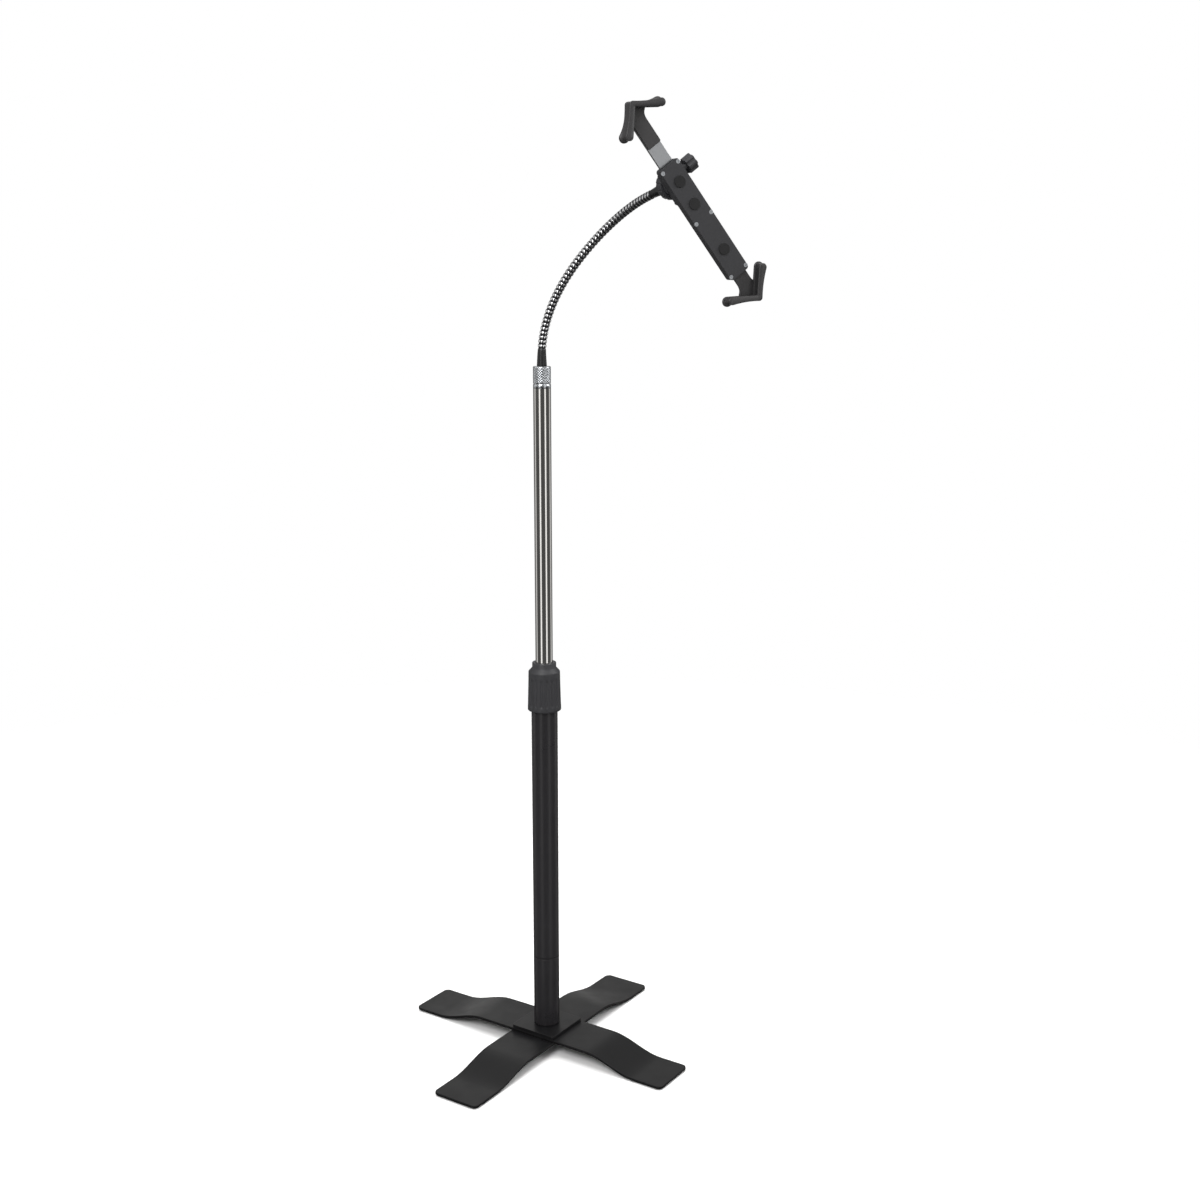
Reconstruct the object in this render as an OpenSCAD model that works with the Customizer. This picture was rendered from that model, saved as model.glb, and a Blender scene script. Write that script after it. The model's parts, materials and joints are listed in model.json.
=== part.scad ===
// Adjustable tablet floor stand: crossed flat steel legs, a two-stage pole with a
// twist lock, a chrome ribbed gooseneck, a ball joint and a cradle that holds a
// tablet by two opposite corners. Millimetres, +Z up, origin on the pole axis at
// floor level. The cradle faces -Y.

/* [Legs] */
// Length of each leg bar, foot end to foot end
bar_len = 450; // [320:5:600]
// Width of the leg bars
bar_w = 76; // [60:1:100]
// Thickness of the leg bars
bar_t = 4; // [3:0.5:6]
// Length of the flat foot at each bar end
foot_len = 45; // [35:1:70]
// Length of the bend between foot and crossing
ramp_len = 85; // [40:1:90]
// Rise of the lower bar from its feet to the crossing
bar_rise = 14.5; // [12:0.5:30]
// Corner radius of the feet
foot_r = 8; // [2:0.5:20]
// Direction of the first leg about the pole
base_turn = -55; // [-180:1:180]
// Thickness of the rubber pads under the feet
pad_t = 2; // [1:0.5:4]
// Distance of a pad from the edges of its foot
pad_inset = 9; // [5:0.5:15]

/* [Pole] */
// Thickness of the square pole foot
plate_t = 5; // [3:0.5:10]
// Outer diameter of the base post and the outer tube
tube_d = 38; // [34:0.5:45]
// Wall of the base post and the outer tube
tube_wall = 1.5; // [1:0.25:2.5]
// Height of the seam between base post and outer tube
seam_z = 138.5; // [110:0.5:200]
// Height of the twist lock's lower edge
lock_z = 520; // [420:1:620]
// Diameter of the chrome inner tube
inner_d = 25; // [22:0.5:28]
// Wall of the chrome inner tube
inner_wall = 1.5; // [1:0.25:2]
// Height of the inner tube's upper end
inner_top = 983; // [900:1:1080]
// Depth from the lock's lower edge to the inner tube's lower end
inner_sunk = 97; // [90:1:200]
// Length of the glide bush
glide_len = 30; // [20:1:50]
// Diameter of the central base bolt
bolt_d = 10; // [6:0.5:12]

/* [Twist lock] */
// Height of the lock collar
lock_h = 71; // [66:1:90]
// Diameter of the lock collar at its lower rim
lock_low_d = 48.4; // [46:0.1:54]
// Diameter of the lock collar at its shoulder
lock_high_d = 45.4; // [44:0.1:50]
// Diameter of the ring on top of the collar
lock_ring_d = 34.6; // [32:0.1:38]
// Number of grip flutes on the collar
lock_flutes = 18; // [8:1:30]
// Depth of the grip flutes
flute_depth = 1; // [0.4:0.1:1.6]

/* [Gooseneck] */
// Height of the knurled ferrule above the inner tube
ferrule_h = 30; // [20:1:45]
// Length of the tapered sleeve at each end of the gooseneck
sleeve_len = 25; // [18:0.5:40]
// Diameter of the sleeves at their wide end
sleeve_d = 14; // [12:0.5:18]
// Diameter over the ribs
rib_d = 12; // [11:0.5:16]
// Diameter of a rib's round section
rib_wire = 2.5; // [2:0.1:2.6]
// Diameter of the hose between the ribs
core_d = 8.8; // [8:0.1:9.2]
// Bore of the hose
hose_bore = 4; // [3:0.5:5]
// Distance from rib to rib
rib_pitch = 4; // [4:0.1:5]
// Ribs on one link of the hose
link_ribs = 6; // [4:1:8]
// Bend at the first forward link
low_bend_first = 8.8; // [0:0.1:10]
// Bend at the last forward link
low_bend_last = 3.4; // [0:0.1:10]
// Bend at each link behind the cradle
top_bend = 9; // [0:0.1:10]
// Direction of the bend behind the cradle
top_side = -58; // [-90:1:90]
// Direction in which the gooseneck leans
neck_turn = -38.5; // [-180:0.5:180]

/* [Ball joint] */
// Diameter of the ball
ball_d = 20; // [18:0.5:26]
// Diameter of the stud that carries the ball
stud_d = 7; // [5:0.5:8]
// Distance from the sleeve to the ball's centre
stud_len = 18; // [17:0.5:26]
// Wall of the ball seat outside the ball
seat_wall = 2.4; // [2:0.1:4]
// Wall of the socket cup
cup_wall = 3; // [2:0.1:5]
// Thickness of the socket flange
flange_t = 4; // [3:0.5:6]
// Length of the socket flange along the rail
flange_len = 48; // [46:1:56]

/* [Cradle] */
// Width of the tablet space
tablet_w = 178; // [150:1:200]
// Height of the tablet space
tablet_h = 234; // [210:1:260]
// Width of the rail
rail_w = 30; // [28:0.5:32]
// Side wall of the rail
rail_wall = 4.5; // [4:0.1:5]
// Back wall of the rail
rail_back = 3; // [2:0.5:5]
// Height of the rail's upper end above the middle of the tablet space
rail_up = 60; // [58:1:62]
// Depth of the rail's lower end below the middle of the tablet space
rail_down = 110; // [104:1:112]
// Thickness of the rail cover
cover_t = 2.5; // [2:0.1:4]
// Distance from the middle of the tablet space back to the cover
cover_back = 5.5; // [5:0.1:8]
// Thickness of the rubber buffers on the cover
buffer_t = 1.5; // [1:0.1:2]
// Height of the ball joint above the middle of the tablet space
socket_up = 31; // [25:1:32]
// Thickness of the slide bar
bar_slide_t = 3.8; // [3:0.1:5]
// Length of the slide bar
bar_slide_len = 168; // [160:1:172]
// Distance from the tablet corner to the slide bar's outer end
bar_slide_end = 20; // [18:1:26]
// Height of the lock knob above the middle of the tablet space
knob_up = 42; // [40:1:44]
// Diameter of the lock knob
knob_d = 22; // [18:0.5:24]

/* [Corner grips] */
// Length of a grip finger
finger_len = 43.5; // [40:0.5:52]
// Height of a finger's round end at its front lip
finger_w = 10.4; // [9:0.2:13]
// Height of a finger's round end at its back flange
finger_back = 13; // [11.5:0.5:16]
// Thickness of a finger at its root
finger_t = 3; // [2:0.1:4]
// Thickness of the front lip
lip_t = 2; // [1.5:0.1:3]
// Distance from the middle of the tablet space forward to the lip
lip_front = 4; // [3.5:0.1:6]
// Depth of the lip over the tablet's edge at the root of a finger
lip_root = 3; // [2:0.1:4]
// Depth of the lip over the tablet's edge at the end of a finger
lip_over = 0.6; // [0.4:0.1:1.5]
// Thickness of the rubber lining in the fingers
lining_t = 1.2; // [1:0.1:2]
// Thickness of the grip's stem
stem_t = 3.6; // [3:0.1:5]

/* [Clearances] */
// Gap round a piece that is pressed or glued in
fit_gap = 0.05; // [0.02:0.01:0.1]
// Gap round a piece that turns or slides in its bearing
run_gap = 0.1; // [0.05:0.01:0.1]
// Gap between pieces that move past each other
free_gap = 0.3; // [0.2:0.05:0.5]

/* [Hidden] */
$fn = 64;

steel_black = "#262628";
moulded_black = "#1c1c1e";
rubber_black = "#131314";
chrome = "#c9ccd0";
zinc = "#a9acb0";

// Heights of the crossing and the pole foot
upper_rise = bar_rise + bar_t;
cross_under = pad_t + bar_rise;
cross_top = pad_t + upper_rise + bar_t;
post_z = cross_top + plate_t;

// Base bolt and its washer
bolt_head_h = 6;
base_screw_d = 5;
base_screw_out = 27;
bolt_head_d = 1.7 * bolt_d;
washer_t = 2;
washer_d = 2.4 * bolt_d;
plug_len = 30;

// Pole bores and the plug at the seam
tube_bore = tube_d - 2 * tube_wall;
inner_bore = inner_d - 2 * inner_wall;
joint_len = 30;
joint_bore = 20;
inner_low = lock_z - inner_sunk;
end_flange_t = 5;
bead_d = inner_d + 3;
bead_h = 2.5;
bead_z = inner_low + glide_len + 2 * free_gap;

// Collet under the lock collar
collet_spigot = 32;
collet_in = 25;
collet_z = lock_z + collet_in;
collet_flange_t = 4;
boss_h = 17;
finger_h = 17;
boss_d = tube_d - 4;
slit_w = 2;
lock_rim = 3;
lock_shoulder = lock_h - 13.6;
lock_neck = lock_h - 7.5;
flute_r = 4;
flute_low = 8;
flute_end = 23;
flute_high = lock_h - flute_end;

// Gooseneck: a chain of straight ribbed links that meet at ball ends
link_len = link_ribs * rib_pitch;
low_links = 7;
top_links = 5;
links = low_links + top_links;
ferrule_z = inner_top + ferrule_h;
neck_z = ferrule_z + sleeve_len;
sleeve_tip = rib_d - 1;
sleeve_set = 1;
stem_d = 10;
stem_deep = 18;

function rot_z(a) = [[cos(a), -sin(a), 0, 0], [sin(a), cos(a), 0, 0], [0, 0, 1, 0], [0, 0, 0, 1]];
function rot_y(a) = [[cos(a), 0, sin(a), 0], [0, 1, 0, 0], [-sin(a), 0, cos(a), 0], [0, 0, 0, 1]];
function lift(d) = [[1, 0, 0, 0], [0, 1, 0, 0], [0, 0, 1, d], [0, 0, 0, 1]];

// Bend angle of link i against the one below it, and the way that it bends
function neck_bend(i) = i > low_links ? top_bend
  : low_bend_first + (low_bend_last - low_bend_first) * (i - 1) / (low_links - 1);
function neck_side(i) = i > low_links ? top_side : 0;

// Frame of link i, with its lower end at the origin and the hose along +Z
function neck_root(i) = i == 1 ? lift(neck_z) * rot_z(neck_turn) : neck_frame(i - 1) * lift(link_len);
function neck_frame(i) = neck_root(i) * rot_z(neck_side(i)) * rot_y(neck_bend(i)) * rot_z(-neck_side(i));

// Ball joint, measured from the ball's centre along the way that the cradle faces
ball_out = link_len + sleeve_len - sleeve_set + stud_len;
ball_at = neck_frame(links) * [0, 0, ball_out, 1];
ball_r = ball_d / 2;
seat_r = ball_r + seat_wall;
seat_lip = 0.36 * ball_r;
seat_front = ball_r + 3;
cup_r = seat_r + run_gap;
cup_lip = seat_lip - 0.7;
cup_front = seat_front + run_gap;
flange_front = cup_front + flange_t;
ring_r = cup_r + cup_wall + free_gap;
ring_wall = 3.6;
ring_front = 8;
ring_lip_t = 2.6;
ring_back = seat_lip + free_gap + ring_lip_t;
ring_flutes = 14;

// Cradle depths, measured back from the middle plane of the tablet
rail_front = cover_back + cover_t;
bar_slide_back = rail_front + stem_t + bar_slide_t + 2 * free_gap;
rail_rear = bar_slide_back + rail_back;
ball_back = rail_rear + flange_front;
lean = atan(tablet_w / tablet_h);
half_diagonal = norm([tablet_w, tablet_h]) / 2;
cradle_at = [ball_at.x, ball_at.y - ball_back, ball_at.z] - socket_up * [-sin(lean), 0, cos(lean)];
slide_w = rail_w - 2 * rail_wall - 2 * free_gap;
slide_out = half_diagonal - bar_slide_end;
rail_r = 4;
rail_end_t = 22;
stem_in = half_diagonal - rail_down + rail_end_t;

// Small screws
screw_d = 3;
screw_head_d = 5.4;
screw_head_h = 1.7;
screw_len = 8;
cover_screw_d = 2.5;
cover_screw_in = 5;
cover_screw_at = [rail_up - cover_screw_in, -rail_down / 5, cover_screw_in - rail_down];
stem_screw_in = 5;
stem_screw_step = 11;
buffer_d = 15;
buffer_at = [-7 / 11 * rail_down, 0, 34 / 60 * rail_up];
knob_h = 13;
knob_stud_d = 6;
knob_boss_d = 10;
knob_boss_h = 5;
knob_lobes = 7;

// Corner grips
lining_gap = 0.2;
finger_gap = lining_t + lining_gap;
root_rear = rail_front + free_gap + stem_t;
root_h = finger_gap + finger_t;
corner_r = root_h + 0.15;
lip_rim = 0.4;
finger_waist = 0.5;
finger_neck = [20, root_h + 1.2];
back_reach = 2;
lining_edge = 2;
lining_start = 6;
fan_r = 22;
fan_edge = 1;

module rounded_plate(length, width, r) {
  square([length - 2 * r, width], center = true);
  square([length, width - 2 * r], center = true);
  for (x = [-1, 1], y = [-1, 1])
    translate([x * (length / 2 - r), y * (width / 2 - r)]) circle(r);
}

// Side view of a leg bar: flat feet, soft bends and a raised crossing
bend_steps = 12;
function bend_curve(rise) = [for (i = [0:bend_steps])
  [bar_len / 2 - foot_len - ramp_len * i / bend_steps, rise * (1 - cos(180 * i / bend_steps)) / 2]];
function half_line(rise) = concat([[bar_len / 2, 0]], bend_curve(rise));
function reversed(list) = [for (i = [len(list) - 1:-1:0]) list[i]];
function bar_under(rise) =
  concat(half_line(rise), [for (p = reversed(half_line(rise))) [-p.x, p.y]]);

module leg_bar(rise) {
  difference() {
    intersection() {
      translate([0, bar_w / 2, pad_t]) rotate([90, 0, 0]) linear_extrude(bar_w)
        polygon(concat(bar_under(rise), [for (p = reversed(bar_under(rise))) [p.x, p.y + bar_t]]));
      linear_extrude(cross_top) rounded_plate(bar_len, bar_w, foot_r);
    }
    cylinder(h = 2 * cross_top, d = bolt_d + 2 * free_gap);
    base_screw_places() cylinder(h = 2 * cross_top, d = base_screw_d + 2 * fit_gap);
  }
}

// Four places round the base bolt, the same for both bars
module base_screw_places() {
  for (x = [-1, 1], y = [-1, 1])
    translate([x * base_screw_out, y * base_screw_out, 0]) children();
}

// Crossed legs of bent flat steel
module lower_bar() {
  color(steel_black) rotate(base_turn + 90) leg_bar(bar_rise);
}

module upper_bar() {
  color(steel_black) rotate(base_turn) leg_bar(upper_rise);
}

// Rubber pads glued under the four feet
module foot_pads() {
  color(rubber_black)
    for (turn = [0:90:270])
      rotate(base_turn + turn) translate([bar_len / 2 - foot_len / 2, 0, 0])
        linear_extrude(pad_t) rounded_plate(foot_len - 2 * pad_inset, bar_w - 2 * pad_inset, foot_r / 2);
}

// Square foot plate under the post
module pole_foot() {
  color(steel_black) rotate(base_turn) translate([0, 0, cross_top]) difference() {
    linear_extrude(plate_t) rounded_plate(bar_w, bar_w, foot_r / 2);
    translate([0, 0, -1]) cylinder(h = plate_t + 2, d = bolt_d + 2 * free_gap);
    base_screw_places() translate([0, 0, -1]) cylinder(h = plate_t, d = base_screw_d + 2 * fit_gap);
  }
}

// Screws from below that keep the legs square to each other
module base_screws() {
  color(zinc) rotate(base_turn) base_screw_places() {
    translate([0, 0, cross_under - 3]) cylinder(h = 3, d1 = 1.5 * base_screw_d, d2 = 1.8 * base_screw_d);
    translate([0, 0, cross_under]) cylinder(h = cross_top - cross_under + plate_t - 1.5, d = base_screw_d);
  }
}

// Bolt that clamps legs and foot plate to the post from below
module base_bolt() {
  color(zinc) {
    translate([0, 0, cross_under - washer_t - bolt_head_h])
      cylinder(h = bolt_head_h, d = bolt_head_d, $fn = 6);
    translate([0, 0, cross_under - washer_t])
      cylinder(h = post_z + plug_len - 5 - cross_under + washer_t, d = bolt_d);
  }
}

module base_washer() {
  color(zinc) translate([0, 0, cross_under - washer_t]) difference() {
    cylinder(h = washer_t, d = washer_d);
    translate([0, 0, -1]) cylinder(h = washer_t + 2, d = bolt_d + 2 * free_gap);
  }
}

module tube(low, high, outer, bore) {
  translate([0, 0, low]) difference() {
    cylinder(h = high - low, d = outer);
    translate([0, 0, -1]) cylinder(h = high - low + 2, d = bore);
  }
}

// Lower length of the black pole
module base_post() {
  color(steel_black) tube(post_z, seam_z, tube_d, tube_bore);
}

// Threaded plug in the post's lower end
module post_plug() {
  color(zinc) tube(post_z, post_z + plug_len, tube_bore - 2 * fit_gap, bolt_d + 2 * fit_gap);
}

// Plug that joins base post and outer tube at the seam
module joint_plug() {
  color(zinc) tube(seam_z - joint_len, seam_z + joint_len, tube_bore - 2 * fit_gap, joint_bore);
}

// Upper length of the black pole
module outer_tube() {
  color(steel_black) tube(seam_z, collet_z, tube_d, tube_bore);
}

// Split collet in the outer tube's upper end, which grips the inner tube
module collet_bush() {
  spigot_r = tube_bore / 2 - fit_gap;
  tip_r = inner_d / 2 + 1.6;
  color(moulded_black) translate([0, 0, collet_z]) difference() {
    rotate_extrude() polygon([
      [inner_d / 2 + run_gap, -collet_spigot], [spigot_r, -collet_spigot], [spigot_r, 0],
      [tube_d / 2, 0], [tube_d / 2, collet_flange_t], [boss_d / 2, collet_flange_t],
      [boss_d / 2, collet_flange_t + boss_h], [tip_r, collet_flange_t + boss_h + finger_h],
      [inner_d / 2 + run_gap, collet_flange_t + boss_h + finger_h]
    ]);
    for (turn = [0, 90])
      rotate(turn) translate([-tube_d / 2, -slit_w / 2, collet_flange_t + boss_h / 2])
        cube([tube_d, slit_w, boss_h + finger_h]);
  }
}

// Twist collar that squeezes the collet: fluted barrel, sloping shoulder and top ring
module lock_collar() {
  bore_r = tube_d / 2 + free_gap;
  boss_r = boss_d / 2 + free_gap;
  tip_r = inner_d / 2 + 1.6 + free_gap;
  boss_low = collet_z + collet_flange_t + free_gap - lock_z;
  boss_high = boss_low + boss_h;
  tip_z = boss_high + finger_h;
  color(moulded_black) translate([0, 0, lock_z]) difference() {
    rotate_extrude() polygon([
      [bore_r, 0], [lock_low_d / 2 - 1.6, 0], [lock_low_d / 2, lock_rim],
      [lock_high_d / 2, lock_shoulder], [lock_ring_d / 2, lock_neck], [lock_ring_d / 2, lock_h - 0.8],
      [lock_ring_d / 2 - 0.8, lock_h], [inner_d / 2 + free_gap, lock_h], [inner_d / 2 + free_gap, tip_z],
      [tip_r, tip_z], [boss_r, boss_high], [boss_r, boss_low], [bore_r, boss_low]
    ]);
    for (i = [0:lock_flutes - 1])
      rotate(360 * i / lock_flutes) translate([lock_low_d / 2 + flute_r - flute_depth - 0.6, 0, flute_low])
        cylinder(h = flute_high - flute_low, r = flute_r, $fn = 32);
  }
}

// Glide bush that guides the inner tube's lower end
module glide_bush() {
  color(moulded_black)
    translate([0, 0, inner_low + free_gap])
      tube(0, glide_len, tube_bore - 2 * run_gap, inner_d + 2 * run_gap);
}

// Chrome inner tube with a rolled bead that stops it under the collet
module inner_tube() {
  color(chrome) {
    tube(inner_low, inner_top, inner_d, inner_bore);
    tube(bead_z, bead_z + bead_h, bead_d, inner_d - inner_wall);
  }
}

// Plug in the inner tube's lower end, with a flange under the glide bush
module end_plug() {
  color(moulded_black) {
    translate([0, 0, inner_low - end_flange_t]) cylinder(h = end_flange_t, d = tube_bore - 4);
    translate([0, 0, inner_low]) cylinder(h = glide_len, d = inner_bore - 2 * fit_gap);
  }
}

// Knurled ferrule on top of the inner tube, with a plain band at its foot
module ferrule() {
  ferrule_r = inner_d / 2;
  band_h = 5;
  groove = 0.6;
  color(zinc) translate([0, 0, inner_top]) rotate_extrude() polygon([
    [stem_d / 2 + fit_gap, -ferrule_h], [inner_bore / 2 - fit_gap, -ferrule_h], [inner_bore / 2 - fit_gap, 0],
    [ferrule_r, 0], [ferrule_r, band_h], [ferrule_r - groove, band_h + groove],
    [ferrule_r - groove, band_h + 2 * groove], [ferrule_r, band_h + 3 * groove],
    [ferrule_r, ferrule_h - 1.2], [ferrule_r - 1.2, ferrule_h], [stem_d / 2 + fit_gap, ferrule_h]
  ]);
}

// Tapered end of the gooseneck, from its stem up to the ball end under the first link
module lower_sleeve() {
  color(moulded_black) translate([0, 0, ferrule_z]) rotate_extrude() difference() {
    union() {
      polygon([
        [hose_bore / 2, -stem_deep], [stem_d / 2, -stem_deep], [stem_d / 2, 0], [sleeve_d / 2, 0],
        [sleeve_tip / 2, sleeve_len - sleeve_set], [hose_bore / 2, sleeve_len - sleeve_set]
      ]);
      translate([0, sleeve_len]) circle(d = core_d);
    }
    translate([-core_d, -2 * stem_deep]) square([core_d + hose_bore / 2, 2 * (sleeve_len + 2 * stem_deep)]);
  }
}

// One link of the chrome hose: round ribs on a core, a hollow foot and a ball end
module neck_link(i) {
  color(chrome) multmatrix(neck_frame(i)) rotate_extrude() difference() {
    union() {
      translate([hose_bore / 2, 0]) square([core_d / 2 - hose_bore / 2, link_len]);
      translate([0, link_len]) circle(d = core_d);
      for (k = [0:link_ribs - 1])
        translate([(rib_d - rib_wire) / 2, (k + 0.5) * rib_pitch]) circle(d = rib_wire, $fn = 24);
    }
    circle(d = core_d + 2 * free_gap);
    translate([-core_d, -core_d]) square([core_d + hose_bore / 2, link_len + 2 * core_d]);
  }
}

// Tapered sleeve on the gooseneck's upper end
module upper_sleeve() {
  hole_r = stud_d / 2 + fit_gap;
  color(moulded_black) multmatrix(neck_frame(links) * lift(link_len)) rotate_extrude() difference() {
    polygon([
      [0, -sleeve_set / 2], [sleeve_tip / 2, -sleeve_set / 2], [sleeve_d / 2, sleeve_len - 3],
      [sleeve_d / 2 - 1, sleeve_len - sleeve_set], [hole_r, sleeve_len - sleeve_set],
      [hole_r, sleeve_len / 2], [0, sleeve_len / 2]
    ]);
    circle(d = core_d + 2 * fit_gap);
    translate([-core_d, -core_d]) square([core_d, 2 * sleeve_len]);
  }
}

// Steel stud that carries the ball
module ball_stud() {
  low = link_len + sleeve_len / 2;
  color(zinc) multmatrix(neck_frame(links) * lift(low)) cylinder(h = ball_out - low, d = stud_d);
}

// Ball, free to turn on its stud
module ball() {
  color(zinc) multmatrix(neck_frame(links) * lift(ball_out)) difference() {
    sphere(r = ball_r);
    translate([0, 0, -2 * ball_r]) cylinder(h = 2 * ball_r + free_gap, d = stud_d + 2 * run_gap);
  }
}

module at_ball() {
  translate([ball_at.x, ball_at.y, ball_at.z]) rotate([90, 0, 0]) children();
}

// Friction seat round the ball, open towards the stud
module ball_seat() {
  color(moulded_black) at_ball() rotate_extrude() difference() {
    translate([0, -seat_lip]) square([seat_r, seat_lip + seat_front]);
    circle(r = ball_r + run_gap);
    translate([-seat_r, -seat_r]) square([seat_r, 3 * seat_r]);
  }
}

module at_cradle() {
  translate(cradle_at) children();
}

// Rail frame: the rail runs along +Z from corner to corner of the tablet
module at_rail() {
  at_cradle() rotate([0, -lean, 0]) children();
}

// Four corners of the socket flange
module flange_corners() {
  for (x = [-1, 1], z = [-1, 1])
    translate([x * (rail_w / 2 - rail_wall / 2), rail_rear, socket_up + z * (flange_len / 2 - rail_wall)])
      rotate([-90, 0, 0]) children();
}

// Socket cup on a flange that is screwed to the back of the rail
module socket_cup() {
  color(moulded_black) difference() {
    union() {
      at_ball() rotate_extrude() polygon([
        [cup_r, -cup_lip], [cup_r + cup_wall, -cup_lip], [cup_r + cup_wall, flange_front],
        [0, flange_front], [0, cup_front], [cup_r, cup_front]
      ]);
      at_rail() translate([0, rail_rear + flange_t, socket_up]) rotate([90, 0, 0])
        linear_extrude(flange_t) rounded_plate(rail_w, flange_len, rail_r);
    }
    at_rail() flange_corners() translate([0, 0, -1]) cylinder(h = flange_t + 2, d = screw_d + 2 * fit_gap);
  }
}

// Pan head screw, its head above z = 0
module small_screw(length) {
  cylinder(h = screw_head_h, d1 = screw_head_d, d2 = screw_head_d - 1);
  translate([0, 0, -length]) cylinder(h = length, d = screw_d);
}

// Screw whose head ends flush with z = 0
module sunk_screw(thread, length) {
  translate([0, 0, -screw_head_h]) cylinder(h = screw_head_h, d = screw_head_d);
  translate([0, 0, -length]) cylinder(h = length, d = thread);
}

module socket_screws() {
  color(zinc) at_rail() flange_corners() translate([0, 0, flange_t]) small_screw(screw_len);
}

// Fluted ring nut that clamps the seat on the ball
module clamp_ring() {
  outer_r = ring_r + ring_wall;
  lip_r = ball_r - 0.8;
  color(moulded_black) at_ball() difference() {
    rotate_extrude() polygon([
      [ring_r, ring_front], [outer_r - 1, ring_front], [outer_r, ring_front - 1],
      [outer_r, 2 - ring_back], [outer_r - 2, -ring_back], [lip_r + ring_lip_t, -ring_back],
      [lip_r, ring_lip_t - ring_back], [ring_r, ring_lip_t - ring_back]
    ]);
    for (i = [0:ring_flutes - 1])
      rotate(360 * i / ring_flutes) translate([outer_r + 1.6, 0, -ring_back - 1])
        cylinder(h = ring_front + ring_back + 2, r = 2.4, $fn = 32);
  }
}

module rail_outline() {
  translate([0, (rail_up - rail_down) / 2]) rounded_plate(rail_w, rail_up + rail_down, rail_r);
}

// Places of the cover screws along both walls
module cover_screw_places() {
  for (x = [-1, 1], z = cover_screw_at)
    translate([x * (rail_w / 2 - rail_wall / 2), cover_back, z]) rotate([90, 0, 0]) children();
}

// Screw axes in a grip's stem, counted from the stem's inner end
module stem_screw_places(depth) {
  for (k = [0, 1])
    translate([0, depth, half_diagonal - stem_in + stem_screw_in + k * stem_screw_step])
      rotate([-90, 0, 0]) children();
}

// The same axes in the lower grip, which is the upper one turned over
module lower_grip_places(depth) {
  rotate([0, 180, 0]) stem_screw_places(depth) children();
}

// Knob axis, square to the rail's side wall
module at_knob() {
  at_rail() translate([rail_w / 2, bar_slide_back - free_gap - bar_slide_t / 2, knob_up])
    rotate([0, 90, 0]) children();
}

// Open channel that carries socket, cover, lower grip and lock knob
module rail_channel() {
  depth = rail_rear - rail_front;
  color(moulded_black) difference() {
    union() {
      at_rail() translate([0, rail_rear, 0]) rotate([90, 0, 0]) linear_extrude(depth) rail_outline();
      at_knob() translate([0, 0, -rail_wall / 2]) cylinder(h = knob_boss_h + rail_wall / 2, d = knob_boss_d);
    }
    at_rail() {
      translate([-rail_w / 2 + rail_wall, rail_front - 1, rail_end_t - rail_down])
        cube([rail_w - 2 * rail_wall, bar_slide_back - rail_front + 1, rail_up + rail_down]);
      translate([-rail_w / 2 + rail_wall, rail_front - 1, -rail_down - 1])
        cube([rail_w - 2 * rail_wall, stem_t + free_gap + 1, rail_end_t + 2]);
      cover_screw_places()
        translate([0, 0, -screw_len - cover_t]) cylinder(h = screw_len, d = cover_screw_d + 2 * fit_gap);
      lower_grip_places(rail_rear) translate([0, 0, -2 * depth])
        cylinder(h = 3 * depth, d = screw_d + 2 * fit_gap);
      flange_corners() translate([0, 0, -screw_len]) cylinder(h = 2 * screw_len, d = screw_d + 2 * fit_gap);
    }
    at_knob() translate([0, 0, -rail_wall - 1])
      cylinder(h = rail_wall + knob_boss_h + 2, d = knob_stud_d + 2 * run_gap);
  }
}

// Flat cover over the channel, behind the tablet
module rail_cover() {
  color(moulded_black) at_rail() difference() {
    translate([0, rail_front, 0]) rotate([90, 0, 0]) linear_extrude(cover_t) rail_outline();
    cover_screw_places() {
      translate([0, 0, -cover_t - 1]) cylinder(h = cover_t + 2, d = cover_screw_d + 2 * fit_gap);
      translate([0, 0, -screw_head_h]) cylinder(h = screw_head_h + 1, d = screw_head_d + 2 * fit_gap);
    }
  }
}

// Countersunk screws of the cover
module cover_screws() {
  color(zinc) at_rail() cover_screw_places() sunk_screw(cover_screw_d, screw_len);
}

// Rubber buffers that the tablet leans against
module back_buffers() {
  color(rubber_black) at_rail()
    for (z = buffer_at)
      translate([0, cover_back, z]) rotate([90, 0, 0]) cylinder(h = buffer_t, d = buffer_d);
}

// Flat bar that slides in the rail and carries the upper grip
module slide_bar() {
  color(zinc) at_rail() difference() {
    translate([-slide_w / 2, bar_slide_back - free_gap - bar_slide_t, slide_out - bar_slide_len])
      cube([slide_w, bar_slide_t, bar_slide_len]);
    stem_screw_places(bar_slide_back - free_gap) {
      translate([0, 0, -2 * bar_slide_t]) cylinder(h = 3 * bar_slide_t, d = screw_d + 2 * fit_gap);
      translate([0, 0, -screw_head_h]) cylinder(h = 2 * screw_head_h, d = screw_head_d + 2 * fit_gap);
    }
  }
}

// Front view of a finger: a paddle along +X, just over the tablet's edge at y = 0
module paddle(end_d, reach, rim) {
  end_r = end_d / 2 - rim;
  end_at = [reach - end_d / 2, end_d / 2 - lip_over - lip_rim];
  translate(end_at) circle(end_r);
  polygon([
    [0, rim - lip_root], [end_at[0], rim - lip_over], [end_at[0], end_at[1] + end_r - finger_waist],
    [finger_neck[0], finger_neck[1] - rim], [0, root_h - rim]
  ]);
}

// Two fingers, along the top edge and along the left edge, and the disc that joins them
module two_fingers(end_d, reach, rim) {
  paddle(end_d, reach, rim);
  mirror([1, 1, 0]) paddle(end_d, reach, rim);
  circle(corner_r - rim);
}

// Prism from front to rear of a grip, drawn over the tablet's corner
module across_grip(front, rear) {
  translate([0, rear, 0]) rotate([90, 0, 0]) linear_extrude(rear + front) children();
}

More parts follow.
